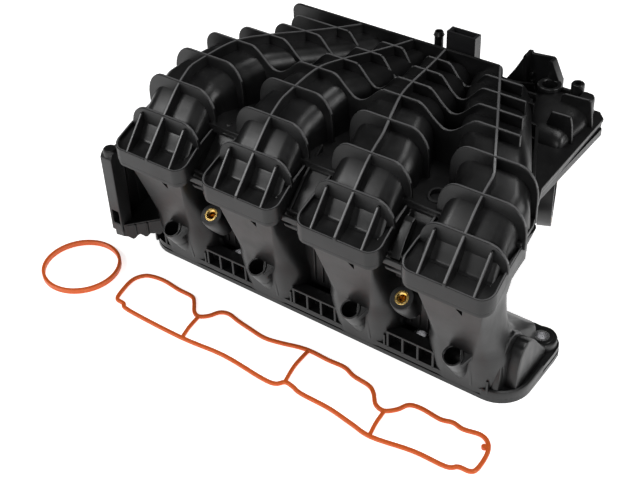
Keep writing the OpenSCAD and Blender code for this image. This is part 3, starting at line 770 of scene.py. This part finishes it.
def neck(shape, k):
    """One duct from the head up to the seam, with the flap shaft and the injector pocket let into it."""
    c = PORTS[k]
    outer, inner = [], []
    for z in NECK_HEIGHTS:
        face, side, corner = straight(FACE_HALF, z), straight(NECK_SIDE, z), straight(BACK_CORNER, z)
        outer.append(neck_ring(c, z, straight(NECK_FRONT, z), straight(NECK_BACK, z), face, side, 20, corner))
        inner.append(neck_ring(c, z, straight(DUCT_FRONT, z), straight(DUCT_BACK, z), max(8, face - 3),
                               side - 3.5, straight(DUCT_DEPTH, z), corner - 2))
    tube = loft_mesh(outer + inner[::-1], closed=True)
    bore = rod_mesh(MOUTHS[k], LEAN, 7.0, -24, 20)
    shaft = shaft_hole(c - 50, c + 50)
    wedge = [(c + 3, -32, 106), (c + 11.5, -32, 106), (c + 10, -32, 97)]
    notch = loft_mesh([wedge, [(x, -18.5, z) for x, y, z in wedge]])
    shape.take(carved(tube, [bore, shaft, notch]), 0)
    shape.lathe([(7, -20), (8.7, -20), (8.7, -0.5), (8.3, 0), (7.4, 0), (7, -0.4)], MOUTHS[k], LEAN, 40)
    shape.lathe([(0, -46), (8.7, -46), (8.7, -18), (7, -18), (7, -36), (0, -36)], MOUTHS[k], LEAN, 40)
    ledge = [(c + 2, 8.4), (c + 14.5, 6.5), (c + 9.5, -4.5), (c + 7, -2)]
    base = Vector((0, LEAN.z, -LEAN.y))
    rings = []
    for h in (-7.0, -1.0):
        rings.append([MOUTHS[k] + Vector((x - c, 0, 0)) + base * v + LEAN * h for x, v in ledge])
    shape.loft(rings, 0.5)
    for x in (24.0, 3.0, -9.0):
        shape.box((c + x, FLANGE_FRONT + 0.25, 8), (c + x + 1.8, 3, 21), 0.4)
    shape.prism([(-6.5, 44), (-1.5, 9), (8, 9), (8, 44)], "x", c + 9.5, c + 12, 0.5)


def lip_band(shape, k):
    """Lower layer of the weld under a pad's lip, and the bead that follows its corner."""
    path = pad_rim_path(k, 2.4, 27)
    tops = [along(RIM_LINE, p[1]) - lip_drop(p[1]) - 0.5 for p in path]
    deep = [4.4 if p[1] < -25 else min(8.0, 4.4 + (p[1] + 25) * 0.12) for p in path]
    shape.ribbon(path, [t - d for t, d in zip(tops, deep)], tops, 3.4, 0.9)
    c = PORTS[k]
    rings = []
    for y in steps(SHELL_LOW.y + 2, 25, 20):
        z = along(RIM_LINE, y) - lip_drop(y) - 1.5
        left, right = c - pad_side(y, -1) + 2.4, c + pad_side(y, 1) - 2.4
        rings.append([(left, y, z), (left, y, z + 3), (right, y, z + 3), (right, y, z)])
    shape.loft(rings)


def flange_outline(inset):
    """Plan of the head flange: big rounded front corners and a bolt ear at each end."""
    front, half, big, ear = FLANGE_FRONT + inset, BODY_HIGH.x - inset, 28 - inset, 15 - inset
    right = arc(half - big, front + big, big, 270, 360, 10) + [(half, 50), (half, 66)]
    right += arc(half - ear, 72, ear, 0, 60, 5)[1:] + [(172, FLANGE_BACK - inset)]
    return right + [(-x, y) for x, y in reversed(right)]


def flange(shape):
    """Head flange in two layers, open at the ports and the bolt holes."""
    def cutters():
        tools = []
        for x in PORTS:
            window = [(x + u, SHAFT.y + v) for u, v in rounded(62, 36, 5)]
            tools.append(prism_mesh(window, "z", -5, 30))
        for name in LIMITERS:
            low, high = node_box(name)
            middle = (low + high) / 2
            tools.append(rod_mesh(middle, (0, 0, 1), (high.x - low.x) / 2, -30, 30))
        return tools
    shape.take(carved(prism_mesh(flange_outline(0), "z", 0, 4.2), cutters()), 0.5)
    shape.take(carved(prism_mesh(flange_outline(1.5), "z", 1, 8.6), cutters()), 0)
    shape.take(carved(prism_mesh(flange_outline(0.3), "z", 5.4, 10.2), cutters()), 0.8)
    for name in LIMITERS:
        low, high = node_box(name)
        r, middle = (high.x - low.x) / 2, (low + high) / 2
        top = high.z - 0.1
        collar = [(r, 5), (r + 3.4, 5), (r + 3.4, top - 0.7), (r + 2.8, top), (r, top)]
        shape.lathe(collar, (middle.x, middle.y, 0), (0, 0, 1), 40)


def ears(shape):
    """Tall bolt ears round the two end limiters, each walled back to its neck."""
    for side in (-1, 1):
        low, high = node_box("limiter_end_right" if side > 0 else "limiter_end_left")
        x, y = (low.x + high.x) / 2, (low.y + high.y) / 2
        plan = [(x + side * u, y + v) for u, v in arc(0, 0, 13, -65, 115, 12) + [(-14, 12), (-14, -11)]]
        bore = rod_mesh((x, y, 0), (0, 0, 1), (high.x - low.x) / 2, -10, 30)
        shape.take(carved(prism_mesh(plan if side > 0 else plan[::-1], "z", 8, high.z - 0.4), [bore]), 1.6)


def lattice(shape):
    """Ribbed pockets along the flange's front edge between the necks."""
    spans = [(PORTS[k] + 27, PORTS[k + 1] - 9) for k in range(3)] + [(-180, PORTS[0] - 9)]
    for low, high in spans:
        shape.box((low, FLANGE_FRONT + 0.1, 24.6), (high, 10, 26.8), 0.6)
        shape.box((low, 8, 9), (high, 10, 26), 0)
        count = max(2, round((high - low) / 16))
        for x in steps(low + 1.3, high - 1.3, count + 1):
            shape.box((x - 1.1, FLANGE_FRONT + 0.3, 9), (x + 1.1, 9, 26), 0.5)


def panels(shape):
    """Dark webs between the necks, with faint upright ribs, and the bosses of the fuel rail inserts."""
    for k in range(3):
        low, high = PORTS[k] + 28, PORTS[k + 1] - 28
        shape.box((low, 16, 26), (high, 18.5, 121), 0)
        for x in steps(low + 12, high - 12, 3):
            shape.box((x - 0.9, 14.5, 31), (x + 0.9, 17, 116), 0.4)
    boss = [(6, -14), (6, -0.2), (9.4, -0.2), (10.2, -1.2), (10.6, -9), (9.4, -20), (8, -28), (0, -28),
            (0, -15)]
    for face in RAIL_FACES:
        shape.lathe(boss, face, LEAN, 44)
        shape.prism([(face.y + 8, face.z - 10), (17, 50), (17, face.z - 4), (face.y + 12, face.z - 4)], "x",
                    face.x - 1.3, face.x + 1.3, 0.5)
        shape.box((face.x - 17, 6, face.z + 2), (face.x + 17, 17, face.z + 5), 0.5)


def tunnel(shape):
    """Housing of the flap shaft between the ports, its fairing and the bead round the corner."""
    outline = [(29, 8), (29, 27), (33, 31.5), (49, 31.5), (53, 27), (53, 8)]
    edges = [-BODY_HIGH.x] + [v for x in PORTS for v in (x - NECK_HALF + 2, x + NECK_HALF - 2)] + [183.0]
    for low, high in zip(edges[::2], edges[1::2]):
        block = prism_mesh(outline, "x", low, high)
        shape.take(carved(block, [shaft_hole(low - 5, high + 5)]), 0)
    big = [(12, 8), (13, 30), (16, 41), (21, 48), (28, 50.5), (36, 47), (44, 39), (51, 30), (57, 23),
           (62, 19), (63, 8)]
    small = [(2, 8), (4, 34), (9, 48), (17, 56), (26, 57), (36, 50), (44, 40), (50, 30), (56, 20), (58, 8)]
    shape.take(carved(prism_mesh(big, "x", 176, 187.4), [shaft_hole(170, 187)]), 2.6)
    shape.take(carved(prism_mesh(small, "x", 168, 177), [shaft_hole(160, 187)]), 3.0)
    end = BODY_HIGH.x - 2.6
    path = arc(BODY_HIGH.x - 28, FLANGE_FRONT + 28, 25.4, 262, 360, 14) + [(end, 44), (end, 50)]
    shape.ribbon(path, [1] * len(path), [11.6] * len(path), 5.0, 2.2)
    shape.prism([(58, 8), (58, 21), (66, 21), (66, 8)], "x", PORTS[3] + 3, 173, 1.0)


def build_runner_body():
    """The four necks on their head flange."""
    shape = Moulding()
    for k in range(4):
        neck(shape, k)
        lip_band(shape, k)
    flange(shape)
    ears(shape)
    lattice(shape)
    panels(shape)
    tunnel(shape)
    layer = [(-173, 16), (-167, 80), (-149, 204), (149, 204), (156, 196.5), (159, 84), (172, 40), (175, 16)]
    shape.prism(layer, "z", SEAM - 4.2, SEAM - 0.8, 0.8)
    shape.finish("runner_body_moulding", "manifold", "black_nylon", ["runner_body"])


# ---- side bracket ----

def build_side_bracket():
    """Frame at the left end: an upright with a square hole, a wavy lower edge and a thin outer wall."""
    shape = Moulding()
    left, inner = node_box("side_bracket")[0].x + 0.1, BODY_LOW.x + 3.0
    foot = PORTS[0] - 24
    post = [(-30, 31.5), (-29.5, 110), (-27, 114), (-22, 115.5), (-17, 114), (-15.5, 108), (-16, 31.5)]
    hole = [(left + 3, 40), (inner - 2, 40), (inner - 2, 54), (left + 3, 54)]
    shape.take(carved(prism_mesh(post, "x", left, inner), [prism_mesh(hole, "y", -40, -19)]), 0.9)
    knob = [(0, 0), (6.4, 0), (6.4, 10), (5.2, 11.5), (0, 11.5)]
    shape.lathe(knob, (left + 6.6, -22.5, 106), (0, 0, 1), 28)
    shelf = [(left, -28), (inner, -28), (foot, -2), (foot, 25), (left, 25)]
    shape.prism(shelf, "z", 36.6, 39.4, 0.7)
    front = [(left + 1.5, -27), (inner - 1, -27)] + [(inner + (foot - inner) * t, -27 + 26 * t)
                                                   for t in steps(0.06, 1, 16)]
    bottoms = [24 + 2.2 * math.sin(i * 1.15) for i in range(len(front))]
    shape.ribbon(front, bottoms, [38] * len(front), 2.4, 0.6)
    for i in (1, 6, 11):
        x, y = front[i]
        shape.box((x - 1, y - 2.4, bottoms[i] + 1), (x + 1, y + 2, 38), 0.4)
    shape.prism([(-18, 36), (-18, 112), (25, 110), (25, 8), (6, 12), (-10, 22)], "x", left, left + 2.5, 0.5)
    for y in (-6, 5, 16):
        shape.box((left + 1.5, y, 39), (left + 3.6, y + 1.8, 108), 0.4)
    shape.prism([(-17, 107.5), (-17, 112), (27, 112), (27, 107.5)], "x", left, foot - 4, 0.7)
    for outline in ([(24, 104), (24, 110), (30, 110), (60, 42), (60, 0), (53, 0), (53, 40)],
                    [(20, 0), (20, 7), (60, 7), (60, 0)],
                    [(20, 0), (10, 3), (-17, 22), (-17, 30), (8, 12), (24, 7)]):
        shape.prism(outline, "x", left + 1, BODY_LOW.x, 0.7)
    shape.finish("side_bracket_moulding", "manifold", "black_nylon", ["side_bracket"])


# ---- gaskets ----

def smooth_path(points, closed, per=6):
    """A rounded path through plan points."""
    points = [Vector(p) for p in points]
    around = points[-1:] + points + points[:2] if closed else points[:1] + points + points[-1:]
    path = []
    for p0, p1, p2, p3 in zip(around, around[1:], around[2:], around[3:]):
        for n in range(per):
            t = n / per
            path.append(0.5 * (2 * p1 + (p2 - p0) * t + (2 * p0 - 5 * p1 + 4 * p2 - p3) * t * t
                               + (3 * p1 - p0 - 3 * p2 + p3) * t**3))
    if not closed:
        path.append(points[-1])
    return [(p.x, p.y) for p in path]


# Plan of the head gasket's edge, as it lies in front of the manifold, as (X, Y)
GASKET_EDGE = [(-165.5, -50), (-161, -40), (-153, -36), (-140, -34.6), (-122, -36.5), (-106, -37), (-99, -42),
               (-91, -51), (-84, -53.5), (-77, -48), (-72, -39.5), (-64, -36.6), (-52, -39), (-38, -41),
               (-20, -43), (-4, -40), (10, -36), (22, -34.2), (40, -34.6), (56, -34), (68, -38), (84, -40),
               (92, -45), (100, -54), (109, -56), (117, -49), (122, -40), (132, -37.6), (150, -39),
               (160, -36.5), (170, -38), (184, -35.4), (193, -40), (197.5, -50), (198.5, -66), (195, -71),
               (186, -72), (178, -77), (150, -78), (116, -84), (96, -81.5), (72, -78), (44, -77.5), (34, -75),
               (26, -74.5), (20, -80.5), (6, -81.5), (-36, -78.5), (-80, -82), (-140, -81.5), (-150, -77.5),
               (-159, -76), (-163, -66)]
GASKET_BARS = [[(-84, -53), (-82, -68), (-78.5, -81)], [(20, -35), (21, -55), (25.5, -74)],
               [(109.5, -56), (111, -70), (114, -83)]]


def bead_section(wide, high, r):
    """Rounded section of a gasket's bead, standing on the floor."""
    return [(u, v + high / 2) for u, v in rounded(wide, high, r, 4)]


def build_gaskets():
    """Head gasket with one window per port, and the ring for the throttle flange, both lying loose."""
    shape = Moulding()
    shape.sweep(smooth_path(GASKET_EDGE, True, 5), bead_section(3.6, 3.0, 1.0))
    for line in GASKET_BARS:
        shape.sweep(smooth_path(line, False, 6), bead_section(3.2, 2.8, 0.9), closed=False)
    shape.lathe([(0, 0.2), (2.4, 0.2), (2.4, 2.6), (2.0, 3), (0, 3)], (192.2, -44.5, 0), (0, 0, 1), 20)
    shape.finish("head_gasket_bead", "loose_head_gasket", "orange_silicone", ["head_gasket"])
    ring = Moulding()
    low, high = node_box("throttle_gasket")
    middle, r = (low + high) / 2, (high.x - low.x) / 2
    ring.lathe([(r - 2.6, 0), (r - 0.4, 0), (r, 0.4), (r, high.z - 0.5), (r - 0.5, high.z), (r - 2.5, high.z),
                (r - 3, high.z - 0.5), (r - 3, 0.4)], (middle.x, middle.y, 0), (0, 0, 1), 120)
    ring.finish("throttle_gasket_ring", "loose_throttle_gasket", "orange_silicone", ["throttle_gasket"])


# ---- small fittings ----

def build_inserts():
    """Brass inserts of the fuel rail, with a chamfered mouth and a plain bore."""
    profile = [(0, -16), (6, -16), (6, -0.3), (5.7, 0), (4.2, 0), (3.1, -1.1), (2.6, -1.8), (2.5, -14),
               (0, -14)]
    for name, face in zip(("rail_insert_left", "rail_insert_right"), RAIL_FACES):
        shape = Moulding()
        shape.lathe(profile, face, LEAN, 40)
        shape.finish(name + "_turned", "manifold", "brass", [name])


def build_back_fittings():
    """Three-sided tower, vent stub and hose nipple along the back edge."""
    tower = Moulding()
    low_y, high_y = 206.2, 209.0
    back = [(60, 149), (60, 152), (69, 166), (78.5, 184), (80, 187), (83.5, 187.6), (84.5, 185.6),
            (103.5, 187.4), (105.5, 186), (113, 169), (113, 149)]
    cheek = [(103.5, 149), (101.5, 185.5), (104, 187.2), (105.5, 186), (113.5, 169), (113.5, 149)]
    tower.prism(back, "y", low_y, high_y, 0.7)
    tower.prism(cheek, "y", 200.5, high_y, 0.8)
    tower.prism([(78.5, 149), (78.5, 183.5), (80.5, 187), (82.5, 185), (82.5, 149)], "y", 200, high_y, 0.8)
    tower.prism([(69, 149), (69, 165), (78.5, 183), (78.5, 149)], "y", low_y - 1, high_y - 0.5, 0.5)
    for z in (160, 167):
        tower.lathe([(0, 0), (2.0, 0), (2.0, 2.2), (1.5, 2.8), (0, 2.8)], (86, 206.4, z), (0, -1, 0), 20)
    tower.finish("tower_bracket_moulding", "manifold", "black_nylon", ["tower_bracket"])
    vent = Moulding()
    place = mount_place("vent_port_bore")
    ring = [(6.5, 0), (9.4, 0), (9.4, 14), (10.3, 15), (10.3, 17.4), (9.7, 18.2), (7.2, 18.2), (6.5, 17.4)]
    vent.lathe(ring, (place.x, place.y, DECK), (0, 0, 1), 44)
    vent.finish("vent_port_turned", "manifold", "black_nylon", ["vent_port"])
    nipple = Moulding()
    place = mount_place("vacuum_nipple_tip")
    barb = [(2.5, 0), (6, 0), (6, 3.6), (5.4, 4.2), (4, 4.6), (4, 30), (4.9, 30.6), (3.6, 34), (2.8, 34),
            (2.5, 33.5)]
    nipple.lathe(barb, (place.x, place.y, DECK), (0, 0, 1), 32)
    nipple.finish("vacuum_nipple_turned", "manifold", "black_nylon", ["vacuum_nipple"])


# ---- stage ----

CAMERA_PLACE = (459.0, -580.0, 677.0)  # in millimetres
CAMERA_YAW = 37.7  # in degrees, like the pitch and the roll
CAMERA_PITCH = 38.6
CAMERA_ROLL = -2.7
CAMERA_LENS = 65.64


def make_camera():
    yaw, pitch, roll = (math.radians(v) for v in (CAMERA_YAW, CAMERA_PITCH, CAMERA_ROLL))
    ahead = Vector((-math.sin(yaw), math.cos(yaw), 0))
    level = Vector((math.cos(yaw), math.sin(yaw), 0))
    look = ahead * math.cos(pitch) - Vector((0, 0, math.sin(pitch)))
    upright = ahead * math.sin(pitch) + Vector((0, 0, math.cos(pitch)))
    right = level * math.cos(roll) + upright * math.sin(roll)
    up = upright * math.cos(roll) - level * math.sin(roll)
    data = bpy.data.cameras.new("camera")
    data.lens = CAMERA_LENS
    data.sensor_width = 36.0
    data.clip_start = 0.01
    camera = bpy.data.objects.new("camera", data)
    turn = Matrix((right, up, -look)).transposed().to_4x4()
    camera.matrix_world = Matrix.Translation(Vector(CAMERA_PLACE) * MM) @ turn
    bpy.context.scene.collection.objects.link(camera)
    bpy.context.scene.camera = camera


def make_floor():
    mesh = bpy.data.meshes.new("floor")
    half = 6.0
    corners = [(-half, -half, 0), (half, -half, 0), (half, half, 0), (-half, half, 0)]
    mesh.from_pydata(corners, [], [(0, 1, 2, 3)])
    n = Nodes("studio floor")
    n.link(n.mix(n.noise(3), (0.9, 0.9, 0.9), (0.93, 0.93, 0.93)), n.shader.inputs["Base Color"])
    n.shader.inputs["Roughness"].default_value = 0.8
    n.shader.inputs["Emission Color"].default_value = (1, 1, 1, 1)
    n.shader.inputs["Emission Strength"].default_value = 0.78
    mesh.materials.append(n.material)
    floor = bpy.data.objects.new("floor", mesh)
    bpy.context.scene.collection.objects.link(floor)
    floor.location.z = -0.0005


def make_light(name, place, target, size, power):
    data = bpy.data.lights.new(name, "AREA")
    data.shape = "RECTANGLE"
    data.size, data.size_y = size
    data.energy = power
    light = bpy.data.objects.new(name, data)
    light.location = place
    light.rotation_euler = (Vector(target) - Vector(place)).to_track_quat("-Z", "Y").to_euler()
    bpy.context.scene.collection.objects.link(light)


def make_stage():
    make_camera()
    make_floor()
    world = bpy.data.worlds.new("studio")
    bpy.context.scene.world = world
    world.use_nodes = True
    world.node_tree.nodes["Background"].inputs["Color"].default_value = (1, 1, 1, 1)
    world.node_tree.nodes["Background"].inputs["Strength"].default_value = 0.06
    make_light("overhead softbox", (0.2, 0.3, 1.5), (0, 0.1, 0), (0.8, 0.5), 7)
    make_light("front softbox", (0.5, -1.5, 1.0), (0, 0, 0.1), (0.9, 0.6), 8)
    make_light("left softbox", (-1.1, -1.1, 1.2), (0, 0, 0.1), (0.8, 0.6), 15)
    make_light("right strip", (1.5, 0.2, 0.9), (0.1, 0.1, 0.1), (0.4, 1.0), 11)
    bpy.context.scene.view_settings.view_transform = "Standard"


# ---- settings, operators and panel ----

class ManifoldSizes(bpy.types.PropertyGroup):
    rib_thick: FloatProperty(name="Rib thickness", description="Thickness of a rib, in mm", default=3.0,
                             min=2, max=4)
    rib_height: FloatProperty(name="Rib height", description="Ribs above the runner skin, in mm", default=9.0,
                              min=4, max=12)
    edge: FloatProperty(name="Edge softness", description="Rounding of a rib's edges, in mm", default=0.7,
                        min=0.2, max=1.2)


class ManifoldLooks(bpy.types.PropertyGroup):
    nylon: FloatVectorProperty(name="Nylon", description="Colour of the moulded nylon", subtype="COLOR",
                               default=(0.0042, 0.0042, 0.0044), min=0, max=1)
    nylon_worn: FloatVectorProperty(name="Scuffed nylon", description="Colour where the nylon is scuffed",
                                    subtype="COLOR", default=(0.022, 0.022, 0.0225), min=0, max=1)
    # Lighter colour of the upward crest faces: partly rubbed wear, partly a painted highlight
    nylon_crest_wear_and_highlight: FloatVectorProperty(name="Crest nylon: wear and painted highlight", description="Colour of the ribs' rubbed crests",
                                      subtype="COLOR", default=(0.1, 0.1, 0.102), min=0, max=1)
    nylon_roughness: FloatProperty(name="Nylon roughness", description="Gloss of the nylon", default=0.35,
                                   min=0.2, max=0.8)
    grain: FloatProperty(name="Grain", description="Size of the nylon's surface grain, in mm", default=0.7,
                         min=0.3, max=2)
    brass: FloatVectorProperty(name="Brass", description="Colour of the threaded inserts", subtype="COLOR",
                               default=(0.83, 0.58, 0.2), min=0, max=1)
    steel: FloatVectorProperty(name="Steel", description="Colour of the head-bolt limiters", subtype="COLOR",
                               default=(0.62, 0.62, 0.63), min=0, max=1)
    silicone: FloatVectorProperty(name="Silicone", description="Colour of the gaskets", subtype="COLOR",
                                  default=(0.62, 0.1, 0.011), min=0, max=1)


class MANIFOLD_OT_stage(bpy.types.Operator):
    """Adds the camera, the pale floor and the soft lights"""
    bl_idname = "manifold.stage"
    bl_label = "Stage"

    def execute(self, context):
        make_stage()
        return {"FINISHED"}


class MANIFOLD_OT_upper_shell(bpy.types.Operator):
    """Builds the ribbed upper shell with its runners, pads and dome"""
    bl_idname = "manifold.upper_shell"
    bl_label = "Upper shell"

    def execute(self, context):
        build_upper_shell(context.scene.manifold_sizes)
        return {"FINISHED"}


class MANIFOLD_OT_runner_body(bpy.types.Operator):
    """Builds the necks, injector pockets, head flange and lattice"""
    bl_idname = "manifold.runner_body"
    bl_label = "Runner body"

    def execute(self, context):
        build_runner_body()
        return {"FINISHED"}


class MANIFOLD_OT_side_bracket(bpy.types.Operator):
    """Builds the open bracket at the left end"""
    bl_idname = "manifold.side_bracket"
    bl_label = "Side bracket"

    def execute(self, context):
        build_side_bracket()
        return {"FINISHED"}


class MANIFOLD_OT_gaskets(bpy.types.Operator):
    """Builds the two loose gaskets"""
    bl_idname = "manifold.gaskets"
    bl_label = "Gaskets"

    def execute(self, context):
        build_gaskets()
        return {"FINISHED"}


class MANIFOLD_OT_fittings(bpy.types.Operator):
    """Builds the turned inserts and the fittings at the back"""
    bl_idname = "manifold.fittings"
    bl_label = "Fittings"

    def execute(self, context):
        build_inserts()
        build_back_fittings()
        return {"FINISHED"}


class MANIFOLD_OT_cad_finishes(bpy.types.Operator):
    """Gives every CAD part that still shows the finish of its slot"""
    bl_idname = "manifold.cad_finishes"
    bl_label = "CAD finishes"

    def execute(self, context):
        slots = {s["node"]: s["material_slot"] for s in frame["record"]["subparts"]}
        for name, node in frame["nodes"].items():
            node.data.materials.clear()
            node.data.materials.append(finish_of(slots[name]))
        return {"FINISHED"}


OPERATORS = (MANIFOLD_OT_stage, MANIFOLD_OT_upper_shell, MANIFOLD_OT_runner_body, MANIFOLD_OT_side_bracket,
             MANIFOLD_OT_gaskets, MANIFOLD_OT_fittings, MANIFOLD_OT_cad_finishes)


class MANIFOLD_PT_panel(bpy.types.Panel):
    """Lists the builder's steps and settings"""
    bl_label = "Intake manifold"
    bl_idname = "MANIFOLD_PT_panel"
    bl_space_type = "VIEW_3D"
    bl_region_type = "UI"
    bl_category = "Manifold"

    def draw(self, context):
        for operator in OPERATORS:
            self.layout.operator(operator.bl_idname)
        for settings in (context.scene.manifold_sizes, context.scene.manifold_looks):
            for name in settings.__annotations__:
                self.layout.prop(settings, name)


CLASSES = (ManifoldSizes, ManifoldLooks, *OPERATORS, MANIFOLD_PT_panel)


def register():
    for cls in CLASSES:
        bpy.utils.register_class(cls)
    bpy.types.Scene.manifold_sizes = PointerProperty(type=ManifoldSizes)
    bpy.types.Scene.manifold_looks = PointerProperty(type=ManifoldLooks)


def unregister():
    del bpy.types.Scene.manifold_looks
    del bpy.types.Scene.manifold_sizes
    for cls in reversed(CLASSES):
        bpy.utils.unregister_class(cls)


def main():
    register()
    for operator in OPERATORS:
        group, name = operator.bl_idname.split(".")
        getattr(getattr(bpy.ops, group), name)()


if __name__ == "__main__":
    main()
